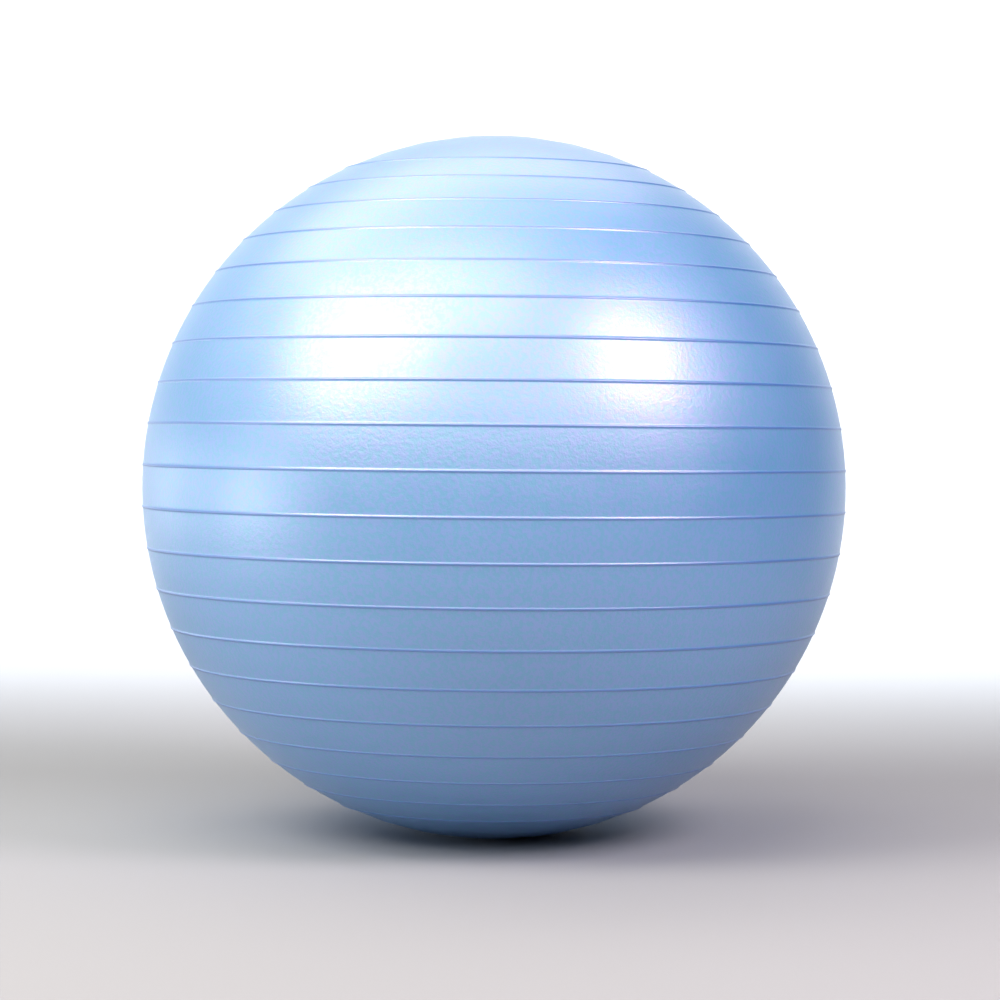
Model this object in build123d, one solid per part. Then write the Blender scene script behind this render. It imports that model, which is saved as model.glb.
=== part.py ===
from build123d import *
import os
from math import acos, degrees, sqrt

# Inflatable exercise ball of ribbed soft PVC, standing on the small flat that its own
# weight presses against the floor, with its air valve and plug straight up.
# Millimetres. Origin at the centre of the flat, +Z up through the ball's centre and the plug.

# Skin: one rotationally moulded PVC shell
BALL_RADIUS = 325.0
SKIN_WALL = 0.8

# Flat patch on the floor, and the bend that carries the skin from it into the sphere
PATCH_RADIUS = 28.0
PATCH_BEND_RADIUS = 100.0

# Grip ribs: rings moulded on the outside, one latitude each
RIBS_PER_HALF = 10
RIB_SPACING = 38.3
RIB_HEIGHT = 0.8
RIB_CREST_RADIUS = 1.6
RIB_FOOT_RADIUS = 1.6

# Valve seat: soft PVC insert fused into the skin at the top
NECK_RADIUS = 10.0
SEAT_LENGTH = 17.0
FLANGE_WIDTH = 9.0
FLANGE_THICKNESS = 2.4
FLANGE_RIM_THICKNESS = 1.0
BORE_RADIUS = 4.3
BORE_CHAMFER = 0.5
SLEEVE_WALL = 3.2
SLEEVE_EDGE_CHAMFER = 0.8

# Air plug: LDPE stopper with a flat head and a ridged, hollow shank
HEAD_OVERLAP = 2.5
HEAD_THICKNESS = 1.6
HEAD_CROWN = 0.3
HEAD_EDGE_RADIUS = 0.6
HEAD_GAP = 0.05
RIDGE_COUNT = 3
RIDGE_CREST_RADIUS = 0.9
RIDGE_CLEARANCE = 0.06
RIDGE_DEPTH = 0.64
TIP_LENGTH = 4.0
TIP_TAPER = 1.1
STEM_WALL = 2.0
CORE_END_WALL = 5.0

# The ball's centre, and the level of the valve seat's outer face, where the skin meets the neck
CENTRE_HEIGHT = PATCH_BEND_RADIUS + sqrt((BALL_RADIUS - PATCH_BEND_RADIUS) ** 2 - PATCH_RADIUS**2)
BALL_CENTRE = Vector(0, 0, CENTRE_HEIGHT)
SEAT_FACE_HEIGHT = CENTRE_HEIGHT + sqrt(BALL_RADIUS**2 - NECK_RADIUS**2)


def profile_point(radius, height):
    """Point of a turned profile: distance from the Z axis, and height."""
    return Vector(radius, 0, height)


def sphere_point(sphere_radius, radius):
    """Point on the upper half of a sphere about the ball's centre, at a distance from the Z axis."""
    return profile_point(radius, CENTRE_HEIGHT + sqrt(sphere_radius**2 - radius**2))


def latitude_point(distance, latitude):
    """Point at a distance from the ball's centre, at a latitude in degrees above the equator."""
    return BALL_CENTRE + Vector(distance, 0, 0).rotate(Axis.Y, -latitude)


def arc_about(centre, start, end):
    """Arc of less than half a turn about a centre, from one point to another."""
    middle = ((start - centre).normalized() + (end - centre).normalized()).normalized()
    return ThreePointArc(start, centre + middle * (start - centre).length, end)


def turned(edges):
    """Solid of revolution about the Z axis from a closed profile, with one face for each edge."""
    return revolve(Face(Wire(edges)), Axis.Z, 360, clean=False)


def rib_edges(latitude):
    """Profile of one rib from its upper foot to its lower one: fillet, round crest, fillet."""
    crest_distance = BALL_RADIUS + RIB_HEIGHT - RIB_CREST_RADIUS
    foot_distance = BALL_RADIUS + RIB_FOOT_RADIUS
    between = RIB_CREST_RADIUS + RIB_FOOT_RADIUS
    cosine = (crest_distance**2 + foot_distance**2 - between**2) / (2 * crest_distance * foot_distance)
    half_width = degrees(acos(cosine))
    crest = latitude_point(crest_distance, latitude)
    upper_foot = latitude_point(foot_distance, latitude + half_width)
    lower_foot = latitude_point(foot_distance, latitude - half_width)
    top = latitude_point(BALL_RADIUS, latitude + half_width)
    bottom = latitude_point(BALL_RADIUS, latitude - half_width)
    upper_join = crest + (upper_foot - crest).normalized() * RIB_CREST_RADIUS
    lower_join = crest + (lower_foot - crest).normalized() * RIB_CREST_RADIUS
    return [
        arc_about(upper_foot, top, upper_join),
        arc_about(crest, upper_join, lower_join),
        arc_about(lower_foot, lower_join, bottom),
    ]


def patch_edges(bend_centre, to_bend, inner_radius):
    """Profile of the skin's foot: outer bend, flat on the floor, then the flat and bend inside."""
    outer_edge = profile_point(PATCH_RADIUS, 0)
    inner_edge = profile_point(PATCH_RADIUS, SKIN_WALL)
    outer_middle = profile_point(0, 0)
    inner_middle = profile_point(0, SKIN_WALL)
    return [
        arc_about(bend_centre, BALL_CENTRE + to_bend * BALL_RADIUS, outer_edge),
        Line(outer_edge, outer_middle),
        Line(outer_middle, inner_middle),
        Line(inner_middle, inner_edge),
        arc_about(bend_centre, inner_edge, BALL_CENTRE + to_bend * inner_radius),
    ]


def ball_skin():
    """Hollow ribbed shell: round above, flat on the floor, with a hole for the valve seat.
    The inner wall is one plain sphere, divided into the same bands as the outside."""
    inner_radius = BALL_RADIUS - SKIN_WALL
    inner_neck = sphere_point(inner_radius, NECK_RADIUS)
    outer_neck = sphere_point(BALL_RADIUS, NECK_RADIUS)
    bend_centre = profile_point(PATCH_RADIUS, PATCH_BEND_RADIUS)
    to_bend = (bend_centre - BALL_CENTRE).normalized()
    rib_step = degrees(RIB_SPACING / BALL_RADIUS)
    latitudes = [(RIBS_PER_HALF - 0.5 - rib) * rib_step for rib in range(2 * RIBS_PER_HALF)]
    edges = []
    last = outer_neck
    for latitude in latitudes:
        rib = rib_edges(latitude)
        edges.append(arc_about(BALL_CENTRE, last, rib[0] @ 0))
        edges += rib
        last = rib[-1] @ 1
    edges.append(arc_about(BALL_CENTRE, last, BALL_CENTRE + to_bend * BALL_RADIUS))
    edges += patch_edges(bend_centre, to_bend, inner_radius)
    last = BALL_CENTRE + to_bend * inner_radius
    for latitude in reversed(latitudes):
        band_end = latitude_point(inner_radius, latitude)
        edges.append(arc_about(BALL_CENTRE, last, band_end))
        last = band_end
    edges.append(arc_about(BALL_CENTRE, last, inner_neck))
    edges.append(Line(inner_neck, outer_neck))
    return turned(edges)


def valve_seat():
    """Insert under the skin: flush neck in the hole, flange against the inner wall, bored sleeve."""
    inner_radius = BALL_RADIUS - SKIN_WALL
    sleeve_radius = BORE_RADIUS + SLEEVE_WALL
    end_height = SEAT_FACE_HEIGHT - SEAT_LENGTH
    flange_root = sphere_point(inner_radius, NECK_RADIUS)
    flange_rim = sphere_point(inner_radius, NECK_RADIUS + FLANGE_WIDTH)
    outline = [
        flange_rim,
        flange_rim - Vector(0, 0, FLANGE_RIM_THICKNESS),
        sphere_point(inner_radius - FLANGE_THICKNESS, sleeve_radius),
        profile_point(sleeve_radius, end_height + SLEEVE_EDGE_CHAMFER),
        profile_point(sleeve_radius - SLEEVE_EDGE_CHAMFER, end_height),
        profile_point(BORE_RADIUS, end_height),
        profile_point(BORE_RADIUS, SEAT_FACE_HEIGHT - BORE_CHAMFER),
        profile_point(BORE_RADIUS + BORE_CHAMFER, SEAT_FACE_HEIGHT),
        profile_point(NECK_RADIUS, SEAT_FACE_HEIGHT),
        flange_root,
    ]
    edges = [Line(a, b) for a, b in zip(outline, outline[1:])]
    edges.append(arc_about(BALL_CENTRE, flange_root, flange_rim))
    return turned(edges)


def plug_head(base_height):
    """Flat round head that covers the neck, with a slightly crowned top and a rounded edge."""
    head_radius = NECK_RADIUS + HEAD_OVERLAP
    top_height = base_height + HEAD_THICKNESS
    corner = profile_point(head_radius, base_height)
    rim_centre = profile_point(head_radius - HEAD_EDGE_RADIUS, top_height - HEAD_EDGE_RADIUS)
    rim_start = rim_centre + Vector(HEAD_EDGE_RADIUS, 0, 0)
    crown_start = rim_centre + Vector(0, 0, HEAD_EDGE_RADIUS)
    crown_top = profile_point(0, top_height + HEAD_CROWN)
    crown_radius = (crown_start.X**2 + HEAD_CROWN**2) / (2 * HEAD_CROWN)
    edges = [
        Line(profile_point(0, base_height), corner),
        Line(corner, rim_start),
        arc_about(rim_centre, rim_start, crown_start),
        arc_about(crown_top - Vector(0, 0, crown_radius), crown_start, crown_top),
        Line(crown_top, profile_point(0, base_height)),
    ]
    return turned(edges)


def plug_stem(base_height, stem_radius, stem_length):
    """Plain stem below the head, ending in a tapered tip."""
    end_height = base_height - stem_length
    outline = [
        profile_point(0, base_height),
        profile_point(stem_radius, base_height),
        profile_point(stem_radius, end_height + TIP_LENGTH),
        profile_point(stem_radius - TIP_TAPER, end_height),
        profile_point(0, end_height),
        profile_point(0, base_height),
    ]
    return turned([Line(a, b) for a, b in zip(outline, outline[1:])])


def air_plug():
    """One-piece stopper: head, stem, sealing ridges that fit the bore, and a core open at the tip."""
    base_height = SEAT_FACE_HEIGHT + HEAD_GAP
    ridge_radius = BORE_RADIUS - RIDGE_CLEARANCE
    ridge_pitch = SEAT_LENGTH / (RIDGE_COUNT + 1)
    stem_radius = ridge_radius - RIDGE_DEPTH
    stem_length = SEAT_LENGTH + TIP_LENGTH
    core_depth = stem_length - CORE_END_WALL
    core_height = base_height - stem_length + core_depth / 2
    plug = plug_head(base_height) + plug_stem(base_height, stem_radius, stem_length)
    for ridge in range(1, RIDGE_COUNT + 1):
        ring = Torus(ridge_radius - RIDGE_CREST_RADIUS, RIDGE_CREST_RADIUS)
        plug += Pos(0, 0, base_height - ridge * ridge_pitch) * ring
    return plug - Pos(0, 0, core_height) * Cylinder(stem_radius - STEM_WALL, core_depth)


os.makedirs("parts", exist_ok=True)
export_step(ball_skin(), "parts/ball_skin.step")
export_step(valve_seat(), "parts/valve_seat.step")
export_step(air_plug(), "parts/air_plug.step")
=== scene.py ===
# %% [markdown]
# # Exercise ball
# An inflatable ball of soft PVC, 65 cm across, with grip rings moulded round it and an air
# valve at the top. The exact model of its three pieces comes from CAD. Blender gives them
# their looks: the pearly blue skin, the valve seat and the waxy white plug, in soft light.

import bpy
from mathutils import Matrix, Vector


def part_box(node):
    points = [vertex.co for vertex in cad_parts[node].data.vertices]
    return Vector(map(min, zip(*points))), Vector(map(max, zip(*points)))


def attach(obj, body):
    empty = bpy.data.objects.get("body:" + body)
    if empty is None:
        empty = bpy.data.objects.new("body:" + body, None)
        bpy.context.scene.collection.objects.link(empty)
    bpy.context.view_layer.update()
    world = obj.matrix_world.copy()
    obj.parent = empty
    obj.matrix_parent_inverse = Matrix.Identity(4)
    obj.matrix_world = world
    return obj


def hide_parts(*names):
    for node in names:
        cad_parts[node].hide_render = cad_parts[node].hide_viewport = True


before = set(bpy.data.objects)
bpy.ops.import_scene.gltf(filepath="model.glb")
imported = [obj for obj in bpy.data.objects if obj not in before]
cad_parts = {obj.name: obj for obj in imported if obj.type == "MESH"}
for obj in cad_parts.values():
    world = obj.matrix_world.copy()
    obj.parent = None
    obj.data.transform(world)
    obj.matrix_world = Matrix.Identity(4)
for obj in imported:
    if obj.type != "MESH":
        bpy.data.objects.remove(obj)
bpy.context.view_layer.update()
print("CAD pieces:", sorted(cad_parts))

# %% [markdown]
# ## Sizes
# Blender works in metres here, and the maker's sizes are in millimetres, so one small
# function turns them. The places of the pieces are read from the CAD boxes, so the looks
# and the exact model can't drift apart.

# %% Sizes of the ball
from math import acos, cos, pi, radians, sin, sqrt

import bmesh
import bpy
from mathutils import Matrix, Vector


def mm(length):
    """A length in millimetres as metres."""
    return length / 1000


BALL_RADIUS = round(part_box("ball_skin")[1].x, 3)
SKIN_WALL = mm(0.8)
NECK_RADIUS = mm(10)
SEAT_FACE_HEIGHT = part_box("valve_seat")[1].z
BALL_CENTRE = Vector((0, 0, SEAT_FACE_HEIGHT - sqrt(BALL_RADIUS**2 - NECK_RADIUS**2)))
print(f"ball radius {BALL_RADIUS * 1000:.1f} mm, centre {BALL_CENTRE.z * 1000:.2f} mm up")

# %% [markdown]
# ## Drawing a section and turning it
# The ball and its plug are both round about the upright axis, so each is made as on a
# lathe: half of its section is drawn, then spun a full turn. The section is drawn with a
# pen: a last vertex that is either pulled straight to a new place or carried round a
# centre. Carrying it round is a spin too, of one vertex, which leaves a true arc behind it.

# %% The pen
def start_section(x, z):
    """A new mesh with the section's first vertex, and that vertex as the pen."""
    mesh = bmesh.new()
    return mesh, bmesh.ops.create_vert(mesh, co=(x, 0, z))["vert"][0]


def lines_to(mesh, pen, places):
    """Pulls the pen straight through places, each a distance from the axis and a height."""
    for distance, height in places:
        pen = bmesh.ops.extrude_vert_indiv(mesh, verts=[pen])["verts"][0]
        pen.co = (distance, 0, height)
    return pen


def arc_to(mesh, pen, centre, end, steps):
    """Carries the pen round a centre, less than half a turn, towards the end point."""
    turn = (pen.co - centre).xz.angle_signed((end - centre).xz)
    swept = bmesh.ops.spin(
        mesh, geom=[pen], cent=centre, axis=(0, 1, 0), angle=turn, steps=steps)
    return next(part for part in swept["geom_last"] if isinstance(part, bmesh.types.BMVert))


# %% [markdown]
# A full spin leaves the last section on top of the first, so it is merged as it turns, and
# the points on the axis are merged after it. Faces are shaded smooth, and only edges
# sharper than a set angle stay crisp, such as the rim of the valve's hole.

# %% The lathe
CRISP_ANGLE = radians(32)
MERGE_DISTANCE = mm(0.001)


def turn_section(mesh, name, around):
    """Spins the section a full turn about the upright axis and makes it an object."""
    bmesh.ops.spin(
        mesh, geom=mesh.verts[:] + mesh.edges[:], cent=(0, 0, 0), axis=(0, 0, 1),
        angle=2 * pi, steps=around, use_merge=True)
    bmesh.ops.remove_doubles(mesh, verts=mesh.verts, dist=MERGE_DISTANCE)
    bmesh.ops.recalc_face_normals(mesh, faces=mesh.faces)
    for face in mesh.faces:
        face.smooth = True
    for edge in mesh.edges:
        edge.smooth = edge.calc_face_angle(0) < CRISP_ANGLE
    data = bpy.data.meshes.new(name)
    mesh.to_mesh(data)
    mesh.free()
    piece = bpy.data.objects.new(name, data)
    bpy.context.scene.collection.objects.link(piece)
    triangles = sum(len(face.vertices) - 2 for face in data.polygons)
    print(f"{name}: {len(data.vertices)} vertices, {triangles} triangles")
    return piece


# %% [markdown]
# ## Skin
# The real skin is rotationally moulded: liquid PVC is turned in a hot closed mould until it
# coats the wall, so the outside copies the mould, grip rings and all. Each ring is a low
# round crest that melts into the ball through a hollow fillet on either side. It could be
# painted on with a bump, but then the outline and the light on it would be wrong close up,
# so every ring is modelled as three arcs.

# %% Sizes of the rings and the floor patch
RING_SPACING = mm(38.3)
RINGS_PER_HALF = 10
RING_HEIGHT = mm(0.8)
RING_CREST_RADIUS = mm(1.6)
RING_FOOT_RADIUS = mm(1.6)
PATCH_RADIUS = mm(28)
PATCH_BEND_RADIUS = mm(100)
FOOT_STEPS = 3
CREST_STEPS = 4
BEND_STEPS = 4


def latitude_point(distance, latitude):
    """Point of the section at a distance from the ball's centre, latitude in radians."""
    return BALL_CENTRE + Vector((cos(latitude), 0, sin(latitude))) * distance


def side_of_foot(crest_distance, foot_distance):
    """Angle at the ball's centre between a ring's crest and the centre of its foot fillet."""
    between = RING_CREST_RADIUS + RING_FOOT_RADIUS
    sides = crest_distance**2 + foot_distance**2 - between**2
    return acos(sides / (2 * crest_distance * foot_distance))


# %% [markdown]
# Between two rings the skin is a plain round band. A band has few long faces, and smooth
# shading blends the slope of a ring's foot right across the first of them, as if the band
# were scalloped. A short face at each end of the band keeps that blend beside the ring.

# %% A band and a ring
SHORT_STEP = mm(0.7)
RING_BAND_STEPS = 3
NECK_BAND_STEPS = 4


def draw_band(mesh, pen, end, steps):
    """Draws a round band of skin, with a short step at each end that keeps its shading true."""
    upwards = Matrix.Rotation(-SHORT_STEP / BALL_RADIUS, 3, "Y")
    downwards = Matrix.Rotation(SHORT_STEP / BALL_RADIUS, 3, "Y")
    pen = arc_to(mesh, pen, BALL_CENTRE, BALL_CENTRE + upwards @ (pen.co - BALL_CENTRE), 1)
    pen = arc_to(mesh, pen, BALL_CENTRE, BALL_CENTRE + downwards @ (end - BALL_CENTRE), steps)
    return arc_to(mesh, pen, BALL_CENTRE, end, 1)


def draw_ring(mesh, pen, latitude):
    """Draws the band below a grip ring, then the ring from its lower foot to its upper one."""
    crest_distance = BALL_RADIUS + RING_HEIGHT - RING_CREST_RADIUS
    foot_distance = BALL_RADIUS + RING_FOOT_RADIUS
    half = side_of_foot(crest_distance, foot_distance)
    crest = latitude_point(crest_distance, latitude)
    low_foot = latitude_point(foot_distance, latitude - half)
    high_foot = latitude_point(foot_distance, latitude + half)
    pen = draw_band(mesh, pen, latitude_point(BALL_RADIUS, latitude - half), RING_BAND_STEPS)
    pen = arc_to(mesh, pen, low_foot, crest, FOOT_STEPS)
    pen = arc_to(mesh, pen, crest, high_foot, CREST_STEPS)
    return arc_to(mesh, pen, high_foot, BALL_CENTRE, FOOT_STEPS)


# %% Section of the skin, from the floor up the outside and down the inner wall
INNER_STEPS = 44
bend_centre = Vector((PATCH_RADIUS, 0, PATCH_BEND_RADIUS))
to_bend = (bend_centre - BALL_CENTRE).normalized()
inner_radius = BALL_RADIUS - SKIN_WALL
neck_inside_height = BALL_CENTRE.z + sqrt(inner_radius**2 - NECK_RADIUS**2)

skin_mesh, pen = start_section(0, 0)
pen = lines_to(skin_mesh, pen, [(PATCH_RADIUS, 0)])
pen = arc_to(skin_mesh, pen, bend_centre, BALL_CENTRE + to_bend * BALL_RADIUS, BEND_STEPS)
for ring in range(2 * RINGS_PER_HALF):
    ring_latitude = (ring + 0.5 - RINGS_PER_HALF) * RING_SPACING / BALL_RADIUS
    pen = draw_ring(skin_mesh, pen, ring_latitude)
pen = draw_band(skin_mesh, pen, Vector((NECK_RADIUS, 0, SEAT_FACE_HEIGHT)), NECK_BAND_STEPS)
pen = lines_to(skin_mesh, pen, [(NECK_RADIUS, neck_inside_height)])
pen = arc_to(skin_mesh, pen, BALL_CENTRE, BALL_CENTRE + to_bend * inner_radius, INNER_STEPS)
pen = arc_to(skin_mesh, pen, bend_centre, Vector((PATCH_RADIUS, 0, SKIN_WALL)), BEND_STEPS)
pen = lines_to(skin_mesh, pen, [(0, SKIN_WALL)])
print("skin section:", len(skin_mesh.verts), "vertices")

# %% Turn the skin
SKIN_AROUND = 240
skin = turn_section(skin_mesh, "ringed_skin", SKIN_AROUND)
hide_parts("ball_skin")
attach(skin, "ball")

# %% [markdown]
# ## Air plug
# A small stopper of LDPE, injection moulded in one piece: a flat head that a thumbnail can
# lift, and a hollow stem with three ridges that grip the valve's bore. Its head is slightly
# dished, with the small round mark where the plastic entered the mould. All of it is round,
# so the lathe makes it in one go.

# %% Sizes of the plug's head
HEAD_GAP = mm(0.05)
HEAD_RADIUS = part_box("air_plug")[1].x
HEAD_CROWN = mm(0.3)
HEAD_TOP_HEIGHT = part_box("air_plug")[1].z
HEAD_BASE_HEIGHT = SEAT_FACE_HEIGHT + HEAD_GAP
HEAD_EDGE_RADIUS = mm(0.6)
HEAD_EDGE_STEPS = 6
DISH_RADIUS = mm(8.2)
DISH_DEPTH = mm(0.35)
DISH_CURVE = mm(0.6)
DISH_CURVE_RISE = mm(0.12)
RIM_SLOPE = mm(0.5)
RIM_SLOPE_RISE = mm(0.1)
RIM_CREST = mm(1.1)
RIM_CREST_DROP = mm(0.08)
GATE_RADIUS = mm(1.1)
GATE_STAND = mm(0.15)

shoulder_height = HEAD_TOP_HEIGHT - HEAD_CROWN
dish_height = shoulder_height - DISH_DEPTH
print(f"head {HEAD_RADIUS * 2000:.1f} mm across, its dish at {dish_height * 1000:.2f} mm")

# %% Sizes of the plug's stem
STEM_RADIUS = mm(3.6)
STEM_TIP_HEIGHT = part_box("air_plug")[0].z
TIP_LENGTH = mm(4)
TIP_TAPER = mm(1.1)
BORE_LENGTH = mm(17)
RIDGES = 3
RIDGE_PITCH = BORE_LENGTH / (RIDGES + 1)
RIDGE_RADIUS = mm(4.24)
RIDGE_CREST_RADIUS = mm(0.9)
RIDGE_CENTRE_RADIUS = RIDGE_RADIUS - RIDGE_CREST_RADIUS
RIDGE_STEPS = 10
CORE_RADIUS = mm(1.6)
CORE_DEPTH = mm(16)

# %% Head of the plug, from its middle out over the edge and in to the stem
edge_centre = Vector((HEAD_RADIUS - HEAD_EDGE_RADIUS, 0, shoulder_height - HEAD_EDGE_RADIUS))
plug_mesh, pen = start_section(0, dish_height + GATE_STAND)
pen = lines_to(plug_mesh, pen, [
    (GATE_RADIUS - GATE_STAND, dish_height + GATE_STAND),
    (GATE_RADIUS, dish_height),
    (DISH_RADIUS - DISH_CURVE, dish_height),
    (DISH_RADIUS, dish_height + DISH_CURVE_RISE),
    (DISH_RADIUS + RIM_SLOPE, shoulder_height + RIM_SLOPE_RISE),
    (DISH_RADIUS + RIM_CREST, HEAD_TOP_HEIGHT - RIM_CREST_DROP),
    (edge_centre.x, shoulder_height)])
pen = arc_to(plug_mesh, pen, edge_centre, edge_centre + Vector((1, 0, 0)), HEAD_EDGE_STEPS)
pen = lines_to(plug_mesh, pen, [
    (HEAD_RADIUS, HEAD_BASE_HEIGHT), (STEM_RADIUS, HEAD_BASE_HEIGHT)])

# %% Stem of the plug, down its ridges to the tip and up its hollow core
ridge_half = sqrt(RIDGE_CREST_RADIUS**2 - (STEM_RADIUS - RIDGE_CENTRE_RADIUS) ** 2)
for ridge in range(1, RIDGES + 1):
    ridge_centre = Vector((RIDGE_CENTRE_RADIUS, 0, HEAD_BASE_HEIGHT - ridge * RIDGE_PITCH))
    ridge_end = Vector((STEM_RADIUS, 0, ridge_centre.z - ridge_half))
    pen = lines_to(plug_mesh, pen, [(STEM_RADIUS, ridge_centre.z + ridge_half)])
    pen = arc_to(plug_mesh, pen, ridge_centre, ridge_end, RIDGE_STEPS)
pen = lines_to(plug_mesh, pen, [
    (STEM_RADIUS, STEM_TIP_HEIGHT + TIP_LENGTH),
    (STEM_RADIUS - TIP_TAPER, STEM_TIP_HEIGHT),
    (CORE_RADIUS, STEM_TIP_HEIGHT),
    (CORE_RADIUS, STEM_TIP_HEIGHT + CORE_DEPTH),
    (0, STEM_TIP_HEIGHT + CORE_DEPTH)])
print("plug section:", len(plug_mesh.verts), "vertices")

# %% Turn the plug
PLUG_AROUND = 96
plug = turn_section(plug_mesh, "moulded_plug", PLUG_AROUND)
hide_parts("air_plug")
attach(plug, "plug")

# %% [markdown]
# ## Materials
# Every material here is a Principled shader with a few texture nodes. A few helpers are
# enough: one turns a hex colour, as a painter would read it, into the linear values that
# light works in, one adds a node with its settings and its links, and two begin and end a
# material.

# %% Helpers for materials
def linear(hex_colour):
    """An sRGB hex colour as the linear red, green, blue and alpha of a shader."""
    shares = [int(hex_colour[place:place + 2], 16) / 255 for place in (1, 3, 5)]
    return [c / 12.92 if c <= 0.04045 else ((c + 0.055) / 1.055) ** 2.4 for c in shares] + [1]


def add_node(tree, kind, inputs, **settings):
    """Adds a node. Each input is a value, or the output of another node to link to it."""
    node = tree.nodes.new(kind)
    for name, value in settings.items():
        setattr(node, name, value)
    for socket, value in inputs.items():
        if isinstance(value, bpy.types.NodeSocket):
            tree.links.new(value, node.inputs[socket])
        else:
            node.inputs[socket].default_value = value
    return node


def new_material(name, centre):
    """A material, its node tree, and object coordinates measured from a centre in metres."""
    material = bpy.data.materials.new(name)
    material.use_nodes = True
    tree = material.node_tree
    tree.nodes.clear()
    place = add_node(tree, "ShaderNodeTexCoord", {})
    place = add_node(tree, "ShaderNodeMapping", {
        "Vector": place.outputs["Object"], "Location": [-part for part in centre]})
    return material, tree, place.outputs["Vector"]


def finish_material(material, shader, data):
    """Links the shader to the material's output and puts the material on a mesh."""
    tree = material.node_tree
    add_node(tree, "ShaderNodeOutputMaterial", {"Surface": shader.outputs["BSDF"]})
    data.materials.clear()
    data.materials.append(material)
    print(f"{material.name}: {len(tree.nodes)} nodes")


# %% [markdown]
# ## Pearly PVC
# The skin is plasticised PVC, dyed light blue and filled with mica flakes coated with
# titania. To the eye that is a pearly bloom: blue where it is seen straight on, whitish
# where light glances off it, and mottled between lilac and sky blue, as thin flakes of
# slightly different thickness mirror different colours. The mould's blasted wall leaves a
# satin grain. Three noises make this: one for the grain, one for the flakes, and a slow one
# for the clouds where the satin is a little duller.
#
# Real flakes and blasting grit are about a tenth of a millimetre, too fine to show on a
# ball this size, so both are drawn ten times coarser and more, as coarse as the mottling
# that the eye sees.

# %% Patterns of the pearly PVC
GRAIN_SIZE = mm(1.5)
FLAKE_SIZE = mm(3.6)
CLOUD_SIZE = mm(45)

pearly_pvc, tree, place = new_material("pearly_pvc", BALL_CENTRE)
grain = add_node(tree, "ShaderNodeTexNoise", {
    "Vector": place, "Scale": 1 / GRAIN_SIZE, "Detail": 2, "Roughness": 0.6})
flakes = add_node(tree, "ShaderNodeTexNoise", {
    "Vector": place, "Scale": 1 / FLAKE_SIZE, "Detail": 3, "Roughness": 0.6})
cloud = add_node(tree, "ShaderNodeTexNoise", {
    "Vector": place, "Scale": 1 / CLOUD_SIZE, "Detail": 2, "Roughness": 0.5})
flake_share = add_node(tree, "ShaderNodeMapRange", {
    "Value": flakes.outputs["Fac"], "From Min": 0.44, "From Max": 0.56})
print(f"a noise cell of flakes is {FLAKE_SIZE * 1000:.1f} mm across")

# %% [markdown]
# PVC lets light some way in, so the thicker it is, the deeper its dye looks, and the wall is
# twice as thick under a ring. Each ring is painted a deeper blue over its whole width. Part
# of that is the deeper dye, and part is painted shade that stands in for the dark line of
# shade along each ring. The height of the surface above the ball's round is simply its
# distance from the ball's centre, so this painted colour follows the shape of the rings.

# %% Colours of the pearly PVC
# Painted shade on the rings: the colour turns deeper blue between these heights above the
# ball's round
RING_SHADE_FROM = mm(0.1)
RING_SHADE_FULL_AT = mm(0.6)

blue = add_node(tree, "ShaderNodeMix", {
    0: flake_share.outputs["Result"], 6: linear("#4A96CA"), 7: linear("#5C92D4")},
    data_type="RGBA")
bloom = add_node(tree, "ShaderNodeMix", {
    0: flake_share.outputs["Result"], 6: linear("#EAFBFC"), 7: linear("#FFECFC")},
    data_type="RGBA")
from_centre = add_node(tree, "ShaderNodeVectorMath", {0: place}, operation="LENGTH")
ring_shade_share = add_node(tree, "ShaderNodeMapRange", {
    "Value": from_centre.outputs["Value"],
    "From Min": BALL_RADIUS + RING_SHADE_FROM, "From Max": BALL_RADIUS + RING_SHADE_FULL_AT})
# The rings are painted deeper blue: painted shade along each ring, partly deeper dye in the
# thicker wall
blue_with_ring_shade = add_node(tree, "ShaderNodeMix", {
    0: ring_shade_share.outputs["Result"], 6: blue.outputs[2], 7: linear("#1A6CBE")},
    data_type="RGBA")

# %% [markdown]
# Plain PVC has an IOR of about 1.53, and titania about 2.5, so the flakes give the broad
# satin gloss an IOR between them. The clear PVC over the flakes is the coat, smoother and
# weaker, which draws the bright middle of each highlight.

# %% Surface of the pearly PVC
GRAIN_DEPTH = mm(0.1)
FLAKE_DEPTH = mm(0.22)

gloss = add_node(tree, "ShaderNodeMapRange", {
    "Value": cloud.outputs["Fac"], "From Min": 0.35, "From Max": 0.65,
    "To Min": 0.47, "To Max": 0.54})
flake_bump = add_node(tree, "ShaderNodeBump", {
    "Height": flakes.outputs["Fac"], "Strength": 1, "Distance": FLAKE_DEPTH})
grain_bump = add_node(tree, "ShaderNodeBump", {
    "Height": grain.outputs["Fac"], "Strength": 1, "Distance": GRAIN_DEPTH,
    "Normal": flake_bump.outputs["Normal"]})
shader = add_node(tree, "ShaderNodeBsdfPrincipled", {
    "Base Color": blue_with_ring_shade.outputs[2], "Roughness": gloss.outputs["Result"], "IOR": 2.3,
    "Specular Tint": bloom.outputs[2], "Normal": grain_bump.outputs["Normal"],
    "Coat Weight": 1, "Coat Roughness": 0.38, "Coat IOR": 1.7,
    "Coat Normal": grain_bump.outputs["Normal"]})
finish_material(pearly_pvc, shader, skin.data)

# %% [markdown]
# ## Valve seat and plug
# The seat is the same soft PVC without the pearl, from its own smooth mould: a plain,
# slightly lighter blue with a soft shine. The plug is natural LDPE, which is milky and a
# little waxy, and slightly see-through at its edges, so it takes some subsurface light.
# Their grain is finer than the skin's, as on small polished moulds. The seat's CAD shape is
# already right, so it only gets its material.

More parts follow.
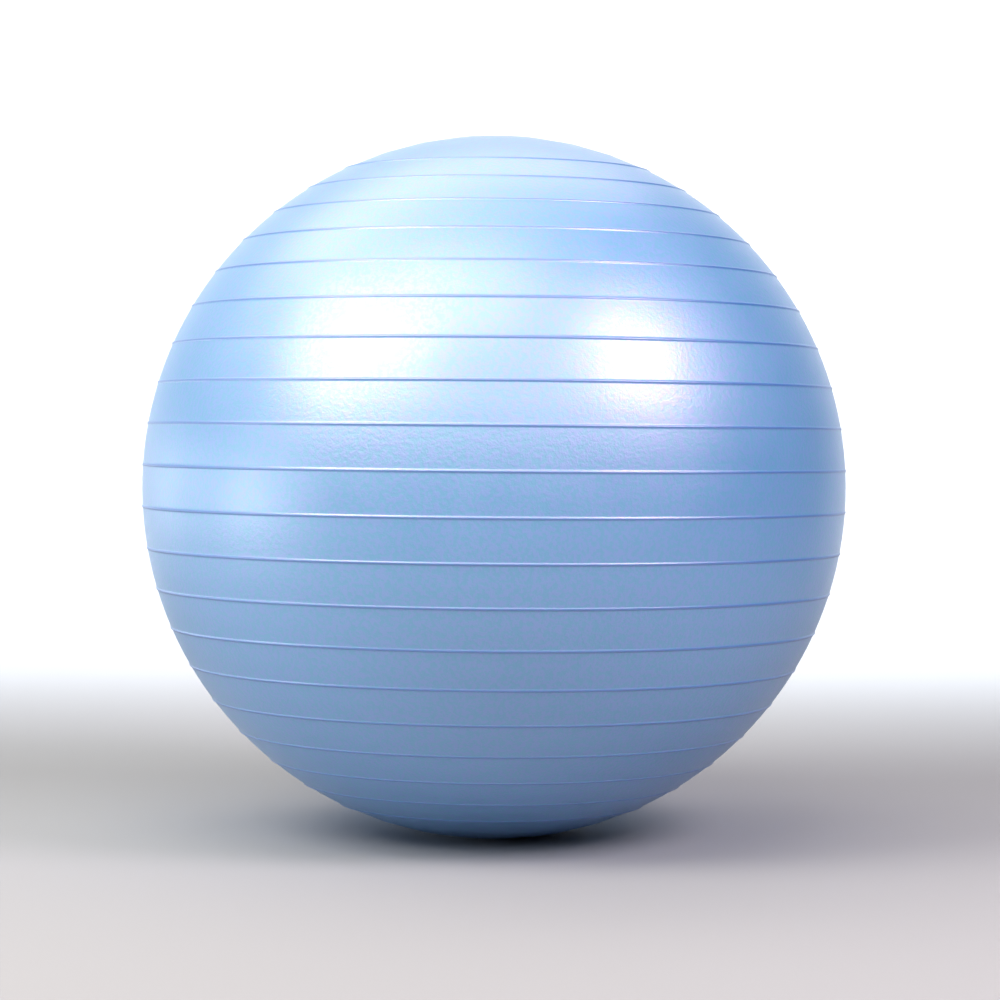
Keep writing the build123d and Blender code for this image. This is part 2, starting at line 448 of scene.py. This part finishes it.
# %% Plain soft PVC of the valve seat
SEAT_GRAIN = mm(0.8)
SEAT_GRAIN_DEPTH = mm(0.02)
soft_pvc, tree, place = new_material("soft_pvc", (0, 0, SEAT_FACE_HEIGHT))
grain = add_node(tree, "ShaderNodeTexNoise", {"Vector": place, "Scale": 1 / SEAT_GRAIN})
bump = add_node(tree, "ShaderNodeBump", {
    "Height": grain.outputs["Fac"], "Strength": 1, "Distance": SEAT_GRAIN_DEPTH})
tone = add_node(tree, "ShaderNodeMix", {
    0: grain.outputs["Fac"], 6: linear("#6C93C8"), 7: linear("#7FA6D8")}, data_type="RGBA")
shader = add_node(tree, "ShaderNodeBsdfPrincipled", {
    "Base Color": tone.outputs[2], "Roughness": 0.42, "IOR": 1.53,
    "Normal": bump.outputs["Normal"]})
finish_material(soft_pvc, shader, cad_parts["valve_seat"].data)

# %% Natural LDPE of the plug
PLUG_GRAIN = mm(0.5)
PLUG_GRAIN_DEPTH = mm(0.01)
PLUG_LIGHT_DEPTH = mm(1)
natural_ldpe, tree, place = new_material("natural_ldpe", (0, 0, HEAD_BASE_HEIGHT))
grain = add_node(tree, "ShaderNodeTexNoise", {"Vector": place, "Scale": 1 / PLUG_GRAIN})
bump = add_node(tree, "ShaderNodeBump", {
    "Height": grain.outputs["Fac"], "Strength": 1, "Distance": PLUG_GRAIN_DEPTH})
tone = add_node(tree, "ShaderNodeMix", {
    0: grain.outputs["Fac"], 6: linear("#DDE2E6"), 7: linear("#EEF1F2")}, data_type="RGBA")
shader = add_node(tree, "ShaderNodeBsdfPrincipled", {
    "Base Color": tone.outputs[2], "Roughness": 0.38, "IOR": 1.51,
    "Subsurface Weight": 0.3, "Subsurface Radius": [PLUG_LIGHT_DEPTH] * 3,
    "Normal": bump.outputs["Normal"]})
finish_material(natural_ldpe, shader, plug.data)

# %% [markdown]
# ## Studio
# The ball stands on a wide roll of pale grey paper that turns up behind it into a wall, with
# no line between floor and wall. Strong lamps bring the paper out nearly white while it
# throws back only about a third of the light: a whiter sheet would light the ball from below
# and flatten it. The paper's side view is drawn with the same pen, turned to face the camera,
# then pulled out sideways.

# %% Paper floor and backdrop
PAPER_HALF_WIDTH = 7
PAPER_FRONT = 7
PAPER_BACK = 2.4
PAPER_BEND = 1.4
PAPER_BEND_STEPS = 24
PAPER_TOP = 4.5

paper_wall = PAPER_BACK + PAPER_BEND
paper_mesh, pen = start_section(-PAPER_FRONT, 0)
pen = lines_to(paper_mesh, pen, [(PAPER_BACK, 0)])
pen = arc_to(paper_mesh, pen, Vector((PAPER_BACK, 0, PAPER_BEND)),
             Vector((paper_wall, 0, PAPER_BEND)), PAPER_BEND_STEPS)
pen = lines_to(paper_mesh, pen, [(paper_wall, PAPER_TOP)])
bmesh.ops.rotate(paper_mesh, verts=paper_mesh.verts, matrix=Matrix.Rotation(pi / 2, 3, "Z"))
bmesh.ops.translate(paper_mesh, verts=paper_mesh.verts, vec=(-PAPER_HALF_WIDTH, 0, 0))
pulled = bmesh.ops.extrude_edge_only(paper_mesh, edges=paper_mesh.edges[:])["geom"]
bmesh.ops.translate(
    paper_mesh, vec=(2 * PAPER_HALF_WIDTH, 0, 0),
    verts=[part for part in pulled if isinstance(part, bmesh.types.BMVert)])
bmesh.ops.recalc_face_normals(paper_mesh, faces=paper_mesh.faces)
for face in paper_mesh.faces:
    face.smooth = True
print("paper:", len(paper_mesh.faces), "faces")

# %% Lay the paper down
paper_data = bpy.data.meshes.new("paper_backdrop")
paper_mesh.to_mesh(paper_data)
paper_mesh.free()
backdrop = bpy.data.objects.new("paper_backdrop", paper_data)
bpy.context.scene.collection.objects.link(backdrop)

# %% Matt paper
FIBRE_SIZE = mm(2)
matt_paper, tree, place = new_material("matt_paper", (0, 0, 0))
fibre = add_node(tree, "ShaderNodeTexNoise", {"Vector": place, "Scale": 1 / FIBRE_SIZE})
tone = add_node(tree, "ShaderNodeMix", {
    0: fibre.outputs["Fac"], 6: linear("#98A2AB"), 7: linear("#9CA6AF")}, data_type="RGBA")
shader = add_node(tree, "ShaderNodeBsdfPrincipled", {
    "Base Color": tone.outputs[2], "Roughness": 0.9, "Specular IOR Level": 0.2})
finish_material(matt_paper, shader, paper_data)

# %% [markdown]
# ## Light
# A glossy round thing mirrors every lamp around it, so the lamps are large soft boxes. Two
# of them stand left and right of the camera and make the two soft highlights. The others
# whiten the top, fill the front and touch the left edge. The last one hangs behind the ball
# and faces away from it, so it lights only the backdrop. Most lamps are a little warm, so
# that their gloss over the blue skin comes out white, and the right one is rosy, which
# brings out the lilac in the pearl.

# %% Softboxes
def softbox(name, place, target, width, height, power, colour):
    """A rectangular lamp at a place, turned to face a target."""
    lamp = bpy.data.lights.new(name, "AREA")
    lamp.shape = "RECTANGLE"
    lamp.size = width
    lamp.size_y = height
    lamp.energy = power
    lamp.color = linear(colour)[:3]
    holder = bpy.data.objects.new(name, lamp)
    holder.location = place
    holder.rotation_euler = (Vector(place) - Vector(target)).to_track_quat("Z", "Y").to_euler()
    holder.visible_camera = False
    bpy.context.scene.collection.objects.link(holder)


# %% Place the softboxes: direction and distance from the ball, width, height, watts, colour
AROUND_THE_BALL = {
    "overhead": ((-0.3, 0.05, 1), 2.4, 3.0, 3.0, 20, "#FFEADA"),
    "back_top": ((-0.15, 0.42, 0.9), 2.3, 3.0, 1.0, 21, "#FFE8D8"),
    "front": ((0, -1, 0.48), 3.2, 3.6, 1.0, 40, "#FFF0E4"),
    "front_top": ((-0.15, -0.6, 1), 2.4, 1.6, 1.2, 25, "#FFEAD4"),
    "left_front": ((-0.62, -0.51, 0.59), 1.9, 1.0, 1.0, 31, "#FFECDA"),
    "right_front": ((0.626, -0.521, 0.581), 2.0, 0.75, 0.85, 33, "#FFE2E4"),
    "left_back": ((-0.8, 0.2, 0.6), 2.2, 1.6, 1.4, 6, "#FFEEE6"),
    "left_low": ((-1, -0.25, -0.05), 2.4, 1.2, 0.5, 12, "#FFFFFF"),
    "left_wall": ((-1, 0.45, 0.0), 2.6, 1.6, 0.6, 6, "#FFFFFF"),
}
for name, (direction, distance, width, height, power, colour) in AROUND_THE_BALL.items():
    place = BALL_CENTRE + Vector(direction).normalized() * distance
    softbox(name, place, BALL_CENTRE, width, height, power, colour)
softbox(
    "backdrop_wash", place=(0, 1.9, 2.0), target=(0, 3.8, 0.6),
    width=6.0, height=0.8, power=300, colour="#FFF6F2")
print(len(AROUND_THE_BALL) + 1, "softboxes")

# %% Dim air of the studio
STUDIO_AIR = 0.02
world = bpy.data.worlds.new("studio_air")
world.use_nodes = True
world.node_tree.nodes["Background"].inputs["Color"].default_value = linear("#FFFFFF")
world.node_tree.nodes["Background"].inputs["Strength"].default_value = STUDIO_AIR
bpy.context.scene.world = world

# %% [markdown]
# ## Camera
# A long lens a few steps away, about level with the middle of the ball, so that the rings
# stay nearly straight. It is rolled by half a degree, and the ball sits a little up and to
# the left in the view.

# %% Set up the camera
LENS = 101.7
SENSOR = 36
CAMERA_DISTANCE = 2.63
CAMERA_ELEVATION = radians(1.1)
CAMERA_ROLL = radians(0.53)
AIM_RIGHT = mm(5.6)
AIM_DOWN = mm(11.7)

lens = bpy.data.cameras.new("camera")
lens.lens = LENS
lens.sensor_width = SENSOR
camera = bpy.data.objects.new("camera", lens)
bpy.context.scene.collection.objects.link(camera)
sight = Vector((0, -cos(CAMERA_ELEVATION), sin(CAMERA_ELEVATION)))
aim = BALL_CENTRE + Vector((AIM_RIGHT, 0, -AIM_DOWN))
camera.location = BALL_CENTRE + sight * CAMERA_DISTANCE
turned = (camera.location - aim).to_track_quat("Z", "Y").to_matrix().to_4x4()
turned = turned @ Matrix.Rotation(CAMERA_ROLL, 4, "Z")
camera.rotation_euler = turned.to_euler()
bpy.context.scene.camera = camera
bpy.context.scene.view_settings.view_transform = "Standard"
print(f"camera {CAMERA_DISTANCE} m from the ball's centre")
